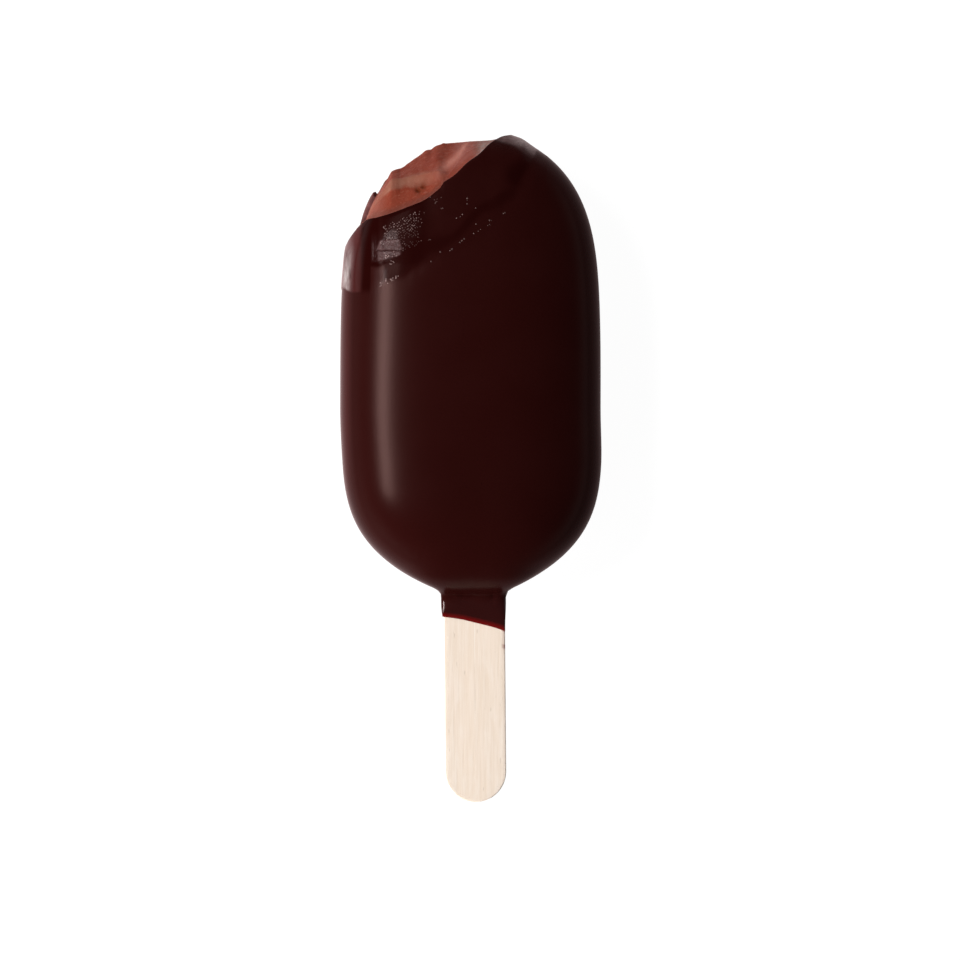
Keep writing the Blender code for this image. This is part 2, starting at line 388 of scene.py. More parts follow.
def add_object(name, data):
    thing = bpy.data.objects.new(name, data)
    bpy.context.scene.collection.objects.link(thing)
    return thing


def make_piece(name, points, faces, finish, node=None, masks=None):
    """A smooth mesh that rides with the bar. Masks are numbers on its points that its finish reads."""
    mesh = bpy.data.meshes.new(name)
    mesh.from_pydata((points.reshape(-1, 3) * MM).tolist(), [], faces.tolist())
    for mask, values in (masks or {}).items():
        layer = mesh.attributes.new(mask, "FLOAT", "POINT")
        layer.data.foreach_set("value", values.astype(np.float32).ravel())
    bm = bmesh.new()
    bm.from_mesh(mesh)
    bmesh.ops.remove_doubles(bm, verts=bm.verts, dist=1e-7)
    bmesh.ops.recalc_face_normals(bm, faces=bm.faces)
    bm.to_mesh(mesh)
    bm.free()
    mesh.shade_smooth()
    mesh.materials.append(finish)
    piece = add_object(name, mesh)
    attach(piece, "root")
    if node:
        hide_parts(node)


def lattice_normals(points):
    """The outward direction at each point of a lattice that is closed across its columns."""
    wide = np.concatenate([points[:, -1:], points, points[:, :1]], axis=1)
    across = wide[:, 2:] - wide[:, :-2]
    along = np.gradient(points, axis=0)
    normal = np.cross(across, along)
    normal /= np.maximum(np.linalg.norm(normal, axis=-1, keepdims=True), 1e-9)
    outward = (points - [0, 0, MIDDLE_Z]) * [1, 0, 1]
    flip = np.sign(np.sum(normal * outward, axis=-1, keepdims=True))
    return normal * np.where(flip == 0, 1, flip)


# ---- finishes ----

class Number:
    """A number that varies over a surface. It adds, subtracts and multiplies like any other."""

    def __init__(self, nodes, socket):
        self.nodes = nodes
        self.socket = socket

    def __add__(self, other):
        return self.nodes.sum("ADD", self, other)

    def __sub__(self, other):
        return self.nodes.sum("SUBTRACT", self, other)

    def __rsub__(self, other):
        return self.nodes.sum("SUBTRACT", other, self)

    def __mul__(self, other):
        return self.nodes.sum("MULTIPLY", self, other)

    __radd__ = __add__
    __rmul__ = __mul__

    def between(self, low, high):
        """0 where the number is low, 1 where it is high, smooth between them."""
        ends = {"Value": self, "From Min": low, "From Max": high}
        return self.nodes.node("ShaderNodeMapRange", {"interpolation_type": "SMOOTHSTEP"}, ends)


class Nodes:
    """A tree of shader nodes that is written as sums of numbers and mixes of colours."""

    def __init__(self, tree):
        self.tree = tree

    def plug(self, value, socket):
        if isinstance(value, Number):
            self.tree.links.new(value.socket, socket)
        else:
            socket.default_value = value

    def node(self, kind, settings=None, inputs=None, output=0):
        """Adds a node, sets it up, plugs in its inputs and gives back one of its outputs."""
        node = self.tree.nodes.new(kind)
        for setting, value in (settings or {}).items():
            setattr(node, setting, value)
        for socket, value in (inputs or {}).items():
            self.plug(value, node.inputs[socket])
        return Number(self, node.outputs[output])

    def sum(self, operation, *numbers):
        return self.node("ShaderNodeMath", {"operation": operation}, dict(enumerate(numbers)))

    def vector(self, operation, first, second=(0, 0, 0), output=0):
        return self.node("ShaderNodeVectorMath", {"operation": operation}, {0: first, 1: second}, output)

    def colour(self, value):
        return (*value, 1.0) if isinstance(value, tuple) else value

    def mix(self, factor, first, second):
        inputs = {"Factor": factor, 6: self.colour(first), 7: self.colour(second)}
        return self.node("ShaderNodeMix", {"data_type": "RGBA"}, inputs, output=2)


class Finish(Nodes):
    """One material: a Principled shader, and the nodes that feed it."""

    def __init__(self, name, **uniform):
        self.material = bpy.data.materials.new(name)
        self.material.use_nodes = True
        super().__init__(self.material.node_tree)
        self.shader = self.tree.nodes["Principled BSDF"]
        for socket, value in uniform.items():
            self.shader.inputs[socket.replace("_", " ")].default_value = value

    def wear(self, **varying):
        for socket, value in varying.items():
            self.plug(self.colour(value), self.shader.inputs[socket.replace("_", " ")])
        return self.material

    def cover(self, share, inputs):
        """Covers part of the surface with another Principled shader."""
        end = self.tree.nodes["Material Output"].inputs["Surface"]
        under = Number(self, end.links[0].from_socket)
        over = self.node("ShaderNodeBsdfPrincipled", None, inputs)
        self.plug(self.node("ShaderNodeMixShader", None, {0: share, 1: under, 2: over}), end)

    def coats(self, colour, *coats):
        """Lays coats over a colour: how much of each shows, and its own colour."""
        for share, coat in coats:
            colour = self.mix(share, colour, coat)
        return colour

    def mask(self, name):
        return self.node("ShaderNodeAttribute", {"attribute_name": name}, output="Fac")

    def noise(self, size, stretch=(1, 1, 1), detail=2.0, roughness=0.5):
        """Soft random spots, 0 to 1, about size millimetres across, and closer along a stretched axis."""
        place = self.vector("MULTIPLY", self.node("ShaderNodeTexCoord", output="Object"), stretch)
        inputs = {"Vector": place, "Scale": 1 / (size * MM), "Detail": detail, "Roughness": roughness}
        return self.node("ShaderNodeTexNoise", None, inputs)

    def bump(self, height, distance, over=None):
        """A relief of the given height in millimetres, on top of another one."""
        inputs = {"Height": height, "Distance": distance * MM}
        if over is not None:
            inputs["Normal"] = over
        return self.node("ShaderNodeBump", None, inputs)


def dark_chocolate():
    """Satin chocolate with a faint grain, partly wet by the bite, thin and red at its end, with painted light
    and shade.
    """
    coat = Finish("dark_chocolate", Specular_IOR_Level=0.1, Specular_Tint=(0.85, 0.52, 0.47, 1))
    patch = coat.mask("patch")
    cloudy = coat.noise(9.0, detail=3.0)
    brown = coat.coats(
        (0.0178, 0.0024, 0.0020),
        (cloudy.between(0.3, 0.7), (0.0190, 0.0028, 0.0024)),
        # red where the chocolate on the stick is thin, and painted light: a lit red down the left side
        (coat.mask("thin"), (0.13, 0.002, 0.002)),
        # painted sheen: a grey veil for the fine glints to the right of the wet patch
        (coat.mask("painted_haze"), (0.026, 0.0085, 0.0075)),
        # painted light: paler mauve on the back chocolate's broken edge by the bite's left end
        (coat.mask("painted_edge_light"), (0.16, 0.060, 0.058)),
        # painted reflection: pale grey where the wet left rim and the crown's gleam mirror the light
        (coat.mask("painted_glare"), (0.34, 0.31, 0.30)),
    )
    grain = coat.noise(0.35, detail=2.0, roughness=0.6)
    skin = coat.bump(grain, 0.006)
    creases = coat.noise(0.7, stretch=(0.8, 1.2, 1.0), detail=3.0, roughness=0.6)
    wet_skin = coat.bump(creases * patch, 0.35, over=skin)
    # painted highlight: the wet patch is paler where it catches the lamp
    brown = coat.mix(patch * 0.8, brown, (0.085, 0.042, 0.042))
    # painted shade: the dull places are darker than the band's brown, less so on the wet patch
    painted_shade_brown = coat.mix(0.85 - 0.8 * patch, brown, (0.0115, 0.0012, 0.0010))
    dull_and_shaded = {"Base Color": painted_shade_brown, "Roughness": 0.6, "Specular IOR Level": 0.0, "Normal": skin}
    tint = (1.0, 0.86, 0.86, 1)
    wet = {"Base Color": brown, "Roughness": 0.12 + 0.10 * patch, "IOR": 2.0, "Specular Tint": tint}
    wet["Normal"] = wet_skin
    gleam = {"Base Color": brown, "Roughness": 0.2, "IOR": 3.6, "Normal": skin}
    coat.cover(coat.mask("dull_and_shaded"), dull_and_shaded)
    coat.cover(coat.mask("film") + 0.18 * patch, wet)
    coat.cover(coat.mask("gleam"), gleam)
    return coat.wear(Base_Color=brown, Roughness=0.245, Normal=skin)


def fresh_drops():
    """The tiny drops by the bite: softly shining, and greyer than the chocolate under them as a painted
    glint.
    """
    drops = Finish("fresh_drops", Specular_IOR_Level=0.22, Specular_Tint=(1.0, 0.8, 0.78, 1))
    dim = drops.mask("dim")
    # painted highlight: pale grey for each drop's glint, darker where the drop is dim
    colour = drops.mix(dim, (0.25, 0.165, 0.155), (0.042, 0.017, 0.015))
    return drops.wear(Base_Color=colour, Roughness=0.2 + 0.2 * dim)


def bitten_ice_cream():
    """Soft pink-brown ice cream, browner in the near tooth mark, with painted highlights on the ridge and
    edges.
    """
    ice = Finish(
        "chocolate_ice_cream", Specular_IOR_Level=0.02, Specular_Tint=(1.0, 0.8, 0.75, 1),
        Subsurface_Weight=0.2, Subsurface_Radius=(0.003, 0.0012, 0.0009), Subsurface_Scale=0.4,
    )
    mottled = ice.noise(2.2, detail=4.0, roughness=0.6)
    flecked = ice.noise(0.7, detail=2.0)
    body = ice.coats(
        (0.170, 0.031, 0.018),
        (mottled.between(0.3, 0.7), (0.195, 0.041, 0.025)),
        (ice.mask("near_mark") * 0.85, (0.200, 0.036, 0.018)),
        (ice.mask("shade") * 0.6, (0.115, 0.036, 0.026)),
        # painted light: the ridge's steep face, turned to the light, is lighter
        (ice.mask("painted_ridge_light") * (0.45 + 0.6 * mottled), (0.250, 0.105, 0.070)),
        (ice.mask("pink") * 0.7, (0.27, 0.090, 0.072)),
        # painted highlight: a light pink streak along the ridge
        (ice.mask("highlight_streak") * (0.6 + 0.5 * mottled), (0.38, 0.142, 0.108)),
        (ice.mask("corner") * 0.6, (0.25, 0.080, 0.058)),
        (flecked.between(0.56, 0.72) * 0.28, (0.30, 0.12, 0.085)),
        # melted cream at the right end, its grey a painted highlight
        (ice.mask("melted_and_highlit") * 0.85, (0.25, 0.17, 0.15)),
        # painted highlight: a lighter line along the bitten face's edges
        (ice.mask("edge") * 0.3, (0.33, 0.145, 0.115)),
        # painted shade: darker in the pits
        (ice.mask("pit"), (0.10, 0.017, 0.005)),
    )
    crystals = ice.noise(0.35, detail=4.0, roughness=0.7)
    skin = ice.bump(crystals, 0.06)
    skin = ice.bump(ice.noise(1.4, detail=2.0), 0.10, over=skin)
    return ice.wear(Base_Color=body, Roughness=0.42 + 0.2 * crystals, Normal=skin)


def pale_wood():
    """Unvarnished birch: straight fine grain along the stick, with a few short grey-brown flecks."""
    wood = Finish("pale_wood", Specular_IOR_Level=0.25)
    grain = wood.noise(0.42, stretch=(1.0, 0.045, 1.0), detail=5.0, roughness=0.65)
    bands = wood.noise(2.6, stretch=(1.0, 0.03, 1.0), detail=2.0)
    flecks = wood.noise(0.55, stretch=(1.0, 0.22, 1.0), detail=1.0)
    blotches = wood.noise(1.8, stretch=(1.0, 0.35, 1.0), detail=3.0, roughness=0.6)
    cream = wood.coats(
        (0.795, 0.660, 0.540),
        (grain.between(0.3, 0.7), (0.860, 0.738, 0.635)),
        (bands.between(0.35, 0.65) * 0.3, (0.87, 0.71, 0.57)),
        (blotches.between(0.5, 0.75) * 0.35, (0.90, 0.80, 0.71)),
        (flecks.between(0.70, 0.78) * 0.4, (0.50, 0.40, 0.30)),
        (wood.mask("smear"), (0.22, 0.045, 0.03)),
    )
    return wood.wear(Base_Color=cream, Roughness=0.62 + 0.12 * grain, Normal=wood.bump(grain, 0.03))


# ---- the chocolate ----

def coating_angles():
    """Round the bar from its right side: over the front, closer at the left, then along the back."""
    front, back = COAT_COLUMNS
    start, end = np.radians(TIGHT_COLUMNS[:2])
    before = round(back * (start - math.pi) / math.pi)
    return np.concatenate([
        math.pi * np.linspace(0, 1, front, endpoint=False) ** COLUMN_CROWDING,
        np.linspace(math.pi, start, before, endpoint=False),
        np.linspace(start, end, TIGHT_COLUMNS[2], endpoint=False),
        np.linspace(end, 2 * math.pi, back - before, endpoint=False),
    ])


def rim_exposure(angle):
    """How much of the broken edge's thickness shows: most in front, little behind."""
    front = np.clip(np.sin(angle), 0, 1)
    return 0.42 + 0.55 * front**0.7


def is_tight(angles):
    """True for the closely set columns, where the back chocolate stands up past the front."""
    start, end = np.radians(TIGHT_COLUMNS[:2])
    return (angles > start - 1e-6) & (angles < end)


def eased(angles, heights):
    """The heights of the bite's edge, with the jump at the tip shared out over a few columns."""
    tight = is_tight(angles)
    window = 2 * TIP_EASE + 1
    padded = np.pad(heights[tight], TIP_EASE, mode="edge")
    heights[tight] = np.convolve(padded, np.ones(window) / window, mode="valid")
    return heights


def coating_outside(angles):
    """Rows from the bite's edge down to the end on the stick, close together in the wet band."""
    count, reach = LIP_ROWS
    lip = np.linspace(0, 1, count) ** ROW_CROWDING * reach
    rest = np.linspace(0, 1, BODY_ROWS + 1)[1:]
    rest = rest * 0.85 + 0.15 * rest**2
    u = np.linspace(0, 1, SEARCH_STEPS)
    lines, tops = [], []
    for angle in angles:
        start = neck_end(on_coating(NECK_END[1], angle)[0])
        y = start + (BODY_TOP - 0.02 - start) * (1 - (1 - u) ** 2)
        line = on_coating(y, np.full_like(y, angle))
        edge = front_edge(line[:, 0]) if math.sin(angle) > 0 else back_edge(line[:, 0])
        over = int(np.argmax(y >= edge))
        gap_below, gap_above = edge[over - 1] - y[over - 1], y[over] - edge[over]
        share = gap_below / (gap_below + gap_above)
        run = np.concatenate([[0], np.cumsum(np.linalg.norm(np.diff(line, axis=0), axis=1))])
        lines.append((y, run))
        tops.append(y[over - 1] + share * (y[over] - y[over - 1]))
    rows = []
    for (y, run), rim_y in zip(lines, eased(angles, np.array(tops))):
        top = np.interp(rim_y, y, run)
        places = np.concatenate([top - lip, (top - reach) * (1 - rest)])
        rows.append(np.interp(places, run, y))
    return np.array(rows).T


def slant_distance(line, x, y):
    """How far a point lies above a line, measured square to it."""
    slope = (line(x + 0.1) - line(x - 0.1)) / 0.2
    return (y - line(x)) / np.sqrt(1 + slope**2)


class Band:
    """How the points of the chocolate's skin lie to the wet band by the bite."""

    def __init__(self, points):
        self.points = points
        self.x, self.y, z = np.moveaxis(points, -1, 0)
        self.height = z - MIDDLE_Z
        self.front = blend(-1.0, 1.0, self.height)
        self.ragged = 0.35 * relief(points * [1, 0.6, 0.4], 1.5, 1)
        self.inside = slant_distance(lip_edge, self.x, self.y) + self.ragged
        self.wet = blend(-0.15, 0.3, self.inside)
        self.near = blend(-0.9, 0.9, self.inside)
        below_front = -slant_distance(front_edge, self.x, self.y)
        below_back = -slant_distance(back_edge, self.x, self.y)
        self.from_rim = below_front * self.front + below_back * (1 - self.front)
        self.from_side = self.x - body_x(self.y) + body_section(self.y, 0)[0] - 0.45

    def lines(self, marks):
        """1 along some short lines, 0 away from them."""
        total = 0
        for x1, y1, x2, y2, width, strength in marks:
            way = np.array([x2 - x1, y2 - y1])
            along = np.clip(((self.x - x1) * way[0] + (self.y - y1) * way[1]) / (way @ way), 0, 1)
            off = np.hypot(self.x - x1 - along * way[0], self.y - y1 - along * way[1])
            total = total + strength * hill(off, 0, width)
        return total


def side_ring(band):
    """A long low ring on the left rim, raised and less glossy."""
    along = band.y - 38.2
    around = np.hypot((band.x + 23.55 + 0.095 * along) / 0.36, along / 2.9)
    return hill(around, 1, 0.4) * band.front * band.wet * blend(35.6, 37.0, band.y)


def band_depth(band, ring):
    """How far the band's surface lies under the body's: a rounded rim, a soft groove and a few creases."""
    x, y, inside, wet, front = band.x, band.y, band.inside, band.wet, band.front
    height, reach = RIM_ROUNDING
    sunk = height * np.clip(1 - band.from_rim / reach, 0, 1) ** 2 * blend(4, 1, x) * blend(43.5, 46.5, y)
    sunk += LIP_DEPTH * span(x, -23.8, -20.5, 3.0, 6.0) * blend(0, 3.5, inside)
    groove_width = np.where(inside < 0, 1.8, 3.2)
    sunk += LIP_GROOVE * front * blend(-15, -9, x) * hill(inside, 0, groove_width)
    sunk += 0.04 * wet * relief(band.points, 3.0, 3)
    sunk -= 0.15 * blend(-22.5, -24.0, x) * wet
    sunk -= 0.04 * ring
    sunk += 0.05 * band.lines(CREASES) * front
    sunk -= 0.22 * hill(x, 9.8, 1.6) * blend(57, 60, y)
    return sunk


def side_film(band, ring):
    """The mirror-like film down the left rim."""
    y, from_side = band.y, band.from_side
    narrower = from_side + 0.2 * np.clip(y - 40, 0, None)
    film = (0.2 - 0.05 * blend(41, 43, y)) * blend(3.9, 2.3, from_side)
    film = film + 0.65 * blend(1.9, 0.7, narrower) * blend(45.6, 43.2, y)
    return film * band.wet * band.front * (1 - 0.55 * ring)


def side_painted_glare(band):
    """A painted reflection: a crinkled pale patch on the left rim, where the wet rim mirrors the light."""
    y, from_side = band.y, band.from_side
    painted_glare = hill(from_side, 0.45, 0.5) * blend(43.5, 40.0, y) * blend(34.0, 35.0, y + 0.5 * from_side)
    painted_glare = painted_glare * band.wet * band.front
    crinkled = relief(band.points * [1, 0.3, 0.5], 0.8, 15)
    crinkled += 0.5 * relief(band.points * [1, 0.5, 1], 0.35, 19)
    painted_glare = painted_glare * np.clip(0.75 + 0.85 * crinkled, 0, 1.2) * (0.4 + 0.6 * blend(40.5, 37.0, y))
    return painted_glare * blend(-1, 2, band.height)


def wet_patch_highlight(band):
    """The wet patch in the band, paler as a painted highlight: a plate with haze above it, a strip below,
    streaks and pale lines.
    """
    points, x, y, ragged = band.points, band.x, band.y, band.ragged
    from_left = x + 17.35 - 0.38 * (y - 43.2)
    from_right = x + 13.5 + 0.25 * (y - 43.2)
    plate = blend(-0.15, 0.15, from_left) * blend(0.15, -0.15, from_right) * span(y, 41.5, 41.8, 43.4, 43.8)
    haze = span(x, -17.9, -16.5, -14.4, -13.4) * blend(43.2, 43.6, y) * blend(46.0, 43.8, y + ragged)
    lower_edge = 39.5 + 0.35 * np.clip(x + 16.8, 0, None)
    strip = span(x, -18.2, -17.6, -13.6, -13.0) * blend(41.6, 41.3, y)
    strip = strip * blend(-0.2, 0.3, y - lower_edge + 0.7 * ragged)
    streaks = span(x, -19.1, -18.8, -17.4, -16.6) * blend(39.0, 39.9, y + ragged) * blend(45.5, 42.5, y)
    streaks = streaks * (0.65 + 0.35 * relief(points * [1, 0.15, 0], 0.5, 8))
    patch = np.maximum.reduce([plate, 0.9 * strip, 0.32 * haze, 0.5 * streaks])
    mottled = 0.78 + 0.45 * relief(points, 0.9, 9) + 0.35 * relief(points, 0.35, 14)
    pale_lines = band.lines(PALE_LINES) * (0.7 + 0.5 * relief(points, 0.5, 10))
    patch = (patch * mottled + 0.5 * pale_lines) * band.front * band.wet
    sheen = span(x, -18.9, -17.8, -17.0, -15.6) * blend(38.4, 37.6, y + 0.4 * ragged) * band.near * band.front
    return np.maximum(patch, 0.14 * sheen)


def painted_sheen_haze(band):
    """A painted sheen: a grey veil over the band, to the right of the wet patch, for its fine glints."""
    x, y, ragged = band.x, band.y, band.ragged
    haze = span(x + ragged, -17.0, -14.8, -10.2, -8.4) * blend(1.6, 3.0, band.from_rim + ragged)
    haze = haze * blend(-0.7, 0.7, y - 42.1 - 0.8 * (x + 12.7) + ragged)
    return haze * band.front * band.wet


def dull_and_shaded_places(band):
    """Where the band has lost its gloss and is painted darker as shade: at the left, along its middle, near
    the crown and low down.
    """
    x, y, ragged = band.x, band.y, band.ragged
    left = np.maximum(blend(38.1, 38.8, y + 0.5 * ragged), blend(-18.9, -19.3, x))
    left = left * span(x, -21.3, -20.5, -18.0, -16.0)
    beside = (y - straight_lines(DULL_LINE, x) + ragged) / straight_lines(DULL_WIDTH, x)
    middle = np.exp(-np.abs(beside) ** 3) * blend(-16.5, -13.0, x) * (0.65 + 0.25 * blend(-6.0, -9.0, x))
    above_low = 0.9 * span(x, -18.5, -16.5, -9.5, -6.0) * blend(38.2, 39.2, y)
    crown = np.exp(-((((x - 9.6) / 2.8) ** 2 + ((y - 56.0) / 3.0) ** 2) ** 2))
    low = 0.8 * span(x, -16.9, -16.2, -8.0, -5.0) * blend(34.6, 36.4, y + ragged) * blend(41, 39, y)
    return np.maximum.reduce([left, middle, crown, low, above_low]) * band.near * band.front


def lit_side_red(band):
    """A painted lit red down the left side, where the lamp's light falls, stronger in the wet band."""
    in_band = (0.12 + 0.06 * blend(41, 44, band.y)) * blend(-20.2, -22.0, band.x) * band.wet
    return np.maximum(in_band, 0.08 * blend(-22.5, -24.0, band.x)) * band.front


def crown_marks(band):
    """The glossy film on the crown, and the wandering gleam along its upper edge."""
    points, x = band.points, band.x
    under = straight_lines(CROWN_LINE, x) - band.y
    worn = 0.8 + 0.5 * relief(points, 0.7, 11)
    film = blend(2.5, 6.0, x) * (0.6 * blend(2.4, 0.8, under) + 0.3 * blend(4.6, 1.2, under)) * worn
    film = film * blend(-3.0, -0.8, band.height) * band.wet
    rough = relief(points, 0.55, 12) + 0.6 * relief(points, 0.25, 17)
    wander = relief(points, 2.6, 20) + 0.5 * relief(points, 1.1, 21)
    gleam = blend(6.6, 10.4, x + wander) * blend(2.5, 0.2, under + 0.8 * wander) * (0.8 + 0.5 * rough)
    gleam = gleam * blend(-1.0, 3.0, band.inside + wander) * blend(-4.5, 0.5, band.height + 2 * wander)
    return film, gleam


def lip_band(points):
    """The wet band by the bite: how far its surface lies under the body's, and its finish's masks."""
    band = Band(points)
    ring = side_ring(band)
    crown_film, gleam = crown_marks(band)
    masks = {
        "film": np.maximum(side_film(band, ring), crown_film),
        "patch": wet_patch_highlight(band),
        "painted_haze": painted_sheen_haze(band),
        "dull_and_shaded": dull_and_shaded_places(band),
        # painted light: the lit red down the left side
        "thin": lit_side_red(band),
        "gleam": np.clip(gleam, 0, 1),
        # the glare is a painted reflection, on the left rim and along the crown's gleam
        "painted_glare": np.clip(np.maximum(0.72 * side_painted_glare(band), 0.3 * gleam), 0, 1),
    }
    return band_depth(band, ring), masks


def shell_lining(angles, rim_y, end_y):
    """Rings round the thin end of the neck, back along the stick, and up the inside of the shell."""
    thin_end = on_stick(end_y - 0.02, angles, 0.05)
    along = (end_y + 0.05, (SHELL_FOOT + end_y) / 2, SHELL_FOOT - 0.3)
    sleeve = [on_stick(y, angles, 0.01) for y in along]
    share = np.linspace(0, 1, 12)[:-1, None]
    inside = on_body(SHELL_FOOT + (rim_y - 2.0 - SHELL_FOOT) * share, angles[None, :], SHELL_INSIDE)
    return np.concatenate([[thin_end], sleeve, inside])


def broken_rim(angles, rim_y, sunk):
    """Rings over the broken edge of the chocolate, from inside the shell out to its skin."""
    shown = rim_exposure(angles)
    depth = sunk + 0.04
    rings = [on_body(rim_y - 1.4, angles, SHELL_INSIDE)]
    for share, drop in RIM_STEPS:
        ring = on_body(rim_y - drop, angles, depth + np.maximum(shown - depth, 0.15) * share)
        edge = np.where(np.sin(angles) > 0, front_edge(ring[:, 0]), back_edge(ring[:, 0]))
        edge = np.where(is_tight(angles), np.inf, edge)
        ring[:, 1] = np.minimum(ring[:, 1], edge - drop)
        rings.append(ring)
    return np.array(rings)


def add_neck_masks(masks, x, y):
    """The chocolate on the stick shines, and is red where it runs out."""
    on_neck = blend(-24.6, -25.6, y)
    red_width = 0.4 + 1.0 * blend(1.0, 6.3, x)
    red = blend(1.0, 0.0, (y - neck_end(x)) / red_width)
    masks["thin"] = masks["thin"] + np.maximum(red, 0.045 * on_neck)
    masks["film"] = np.maximum(masks["film"], 0.5 * on_neck * blend(-6.4, -3.6, x))


def make_coating(finish):
    """The shell: down its skin, round its end on the stick, up its inside and over its broken rim."""
    angles = coating_angles()
    y = coating_outside(angles)
    outside = on_coating(y, angles[None, :])
    sunk, masks = lip_band(outside)
    waves = 0.05 * relief(outside, 14.0, 2)
    outside = outside + lattice_normals(outside) * (waves - sunk)[..., None]
    outside[..., 2] = np.maximum(outside[..., 2], 0)
    lining = shell_lining(angles, y[0], y[-1])
    points = np.concatenate([outside, lining, broken_rim(angles, y[0], sunk[0])])

    add_neck_masks(masks, outside[..., 0], outside[..., 1])
    rows, columns = points.shape[:2]
    fill = np.zeros((rows - len(outside), columns))
    masks = {name: np.concatenate([values, fill]) for name, values in masks.items()}
    # painted light: paler mauve on the back chocolate's broken edge by the bite's left end
    painted_edge_light = blend(45.0, 49.5, points[..., 1]) * blend(-15.0, -18.6, points[..., 0])
    painted_edge_light = painted_edge_light * blend(0.5, -0.5, points[..., 2] - MIDDLE_Z)
    masks["painted_edge_light"] = painted_edge_light * (0.7 + 0.4 * relief(points, 1.3, 16))
    faces = grid_faces(numbered(rows, columns), closed_rows=True, closed_columns=True)
    make_piece("coating", points, faces, finish, "chocolate_coating", masks)
    return outside


def speck_places(seed=5):
    """Where the tiny drops sit: x, y, radius and how dim. A fine field by the bite, then loose groups."""
    chance = np.random.default_rng(seed)
    places = []
    for row in range(-14, 28):
        for step in range(-19, 24):
            x = -12.4 + 0.30 * row + 0.30 * step + chance.normal(0, 0.06)
            y = 47.0 + 0.29 * row - 0.29 * step + chance.normal(0, 0.06)
            below = front_edge(x) - y
            ends = span(x, -17.1, -15.6, -10.4, -8.4)
            low_end = 5.6 + 2.6 * blend(-14.5, -12.5, x)
            faint = blend(4.2, 6.4, below)
            if 1.6 - 0.06 * (x + 9) < below < low_end and chance.random() < 0.95 * ends * (1 - 0.4 * faint):
                places.append((x, y, chance.uniform(0.07, 0.14), chance.uniform(0.4 + 0.45 * faint, 1.0)))
    for x, y, wide, count in SPECK_GROUPS:
        for _ in range(count):
            at = (x + chance.normal(0, wide), y + chance.normal(0, wide))
            dimness = chance.uniform(0.0, 0.7) if x < -13 and y < 45 else chance.uniform(0.6, 1.0)
            places.append((*at, chance.uniform(0.09, 0.17), dimness))
    return places


def make_specks(finish, skin):
    """Tiny drops left on the chocolate by the bite, each a low dome with a closed base."""
    front = skin[: LIP_ROWS[0], : COAT_COLUMNS[0]]
    normals = lattice_normals(skin)[: LIP_ROWS[0], : COAT_COLUMNS[0]]
    turn = np.linspace(0, 2 * math.pi, SPECK_SIDES, endpoint=False)
    points, faces, dim = [], [], []
    for x, y, radius, dimness in speck_places():
        at = np.argmin((front[..., 0] - x) ** 2 + (front[..., 1] - y) ** 2)
        middle, up = front.reshape(-1, 3)[at], normals.reshape(-1, 3)[at]
        across = np.cross([0, 1, 0], up)
        across /= np.linalg.norm(across)
        along = np.cross(up, across)
        dome = [middle + up * SPECK_HEIGHT * radius]
        for share in SPECK_RINGS:
            centre = middle + up * (SPECK_HEIGHT * radius * (1 - share**2))
            dome += [centre + radius * share * (math.cos(t) * across + math.sin(t) * along) for t in turn]
        dome.append(middle - up * 0.4 * radius)
        first = len(points)
        points += dome
        dim += [dimness] * len(dome)
        rings = first + 1 + numbered(len(SPECK_RINGS), SPECK_SIDES)
        last = first + len(dome) - 1
        for i in range(SPECK_SIDES):
            after = (i + 1) % SPECK_SIDES
            faces.append((first, rings[0][i], rings[0][after]))
            for inner, outer in zip(rings, rings[1:]):
                faces.append((inner[i], outer[i], outer[after]))
                faces.append((inner[i], outer[after], inner[after]))
            faces.append((last, rings[-1][after], rings[-1][i]))
    make_piece("lip_specks", np.array(points), np.array(faces), finish, masks={"dim": np.array(dim)})


# ---- the ice cream ----

def bite_height(x, depth):
    """How high the bitten surface stands: 0 is the front edge and 1 the back edge of depth."""
    low, high = front_edge_base(x), far_edge(x)
    notch = (front_edge(x) - low - 0.12) * blend(0.3, 0.0, depth)
    at, rise = ridge_depth(x), ridge_rise(x)
    near = rise * np.clip(depth / at, 0, 1) ** 1.25
    beyond = np.clip((depth - at) / (1 - at), 0, 1)
    step = RIDGE_STEP * blend(-4.0, -6.5, x)
    far = step * blend(0, 0.13, beyond) + (1 - rise - step) * beyond
    return low + notch + (high - low) * (near + far) + crumbled(x) * blend(0.8, 1.0, depth)


def reach_at(x, y, inset):
    """How far the body reaches in front of its middle at one place."""
    width, thickness = body_section(y, inset)
    fullness = np.maximum(1 - (np.abs(x - body_x(y)) / np.maximum(width, 1e-6)) ** SECTION_POWER, 0)
    return thickness * fullness ** (1 / SECTION_POWER)


def bite_span(inset):
    """The leftmost and rightmost x at which the bitten surface still has some depth."""
    x = np.linspace(-HALF_WIDTH, BITE_LIMIT, 8000)
    reach = np.minimum(reach_at(x, front_edge(x), inset), reach_at(x, far_edge(x), inset))
    found = x[reach > LEAST_REACH]
    return found[0], found[-1]


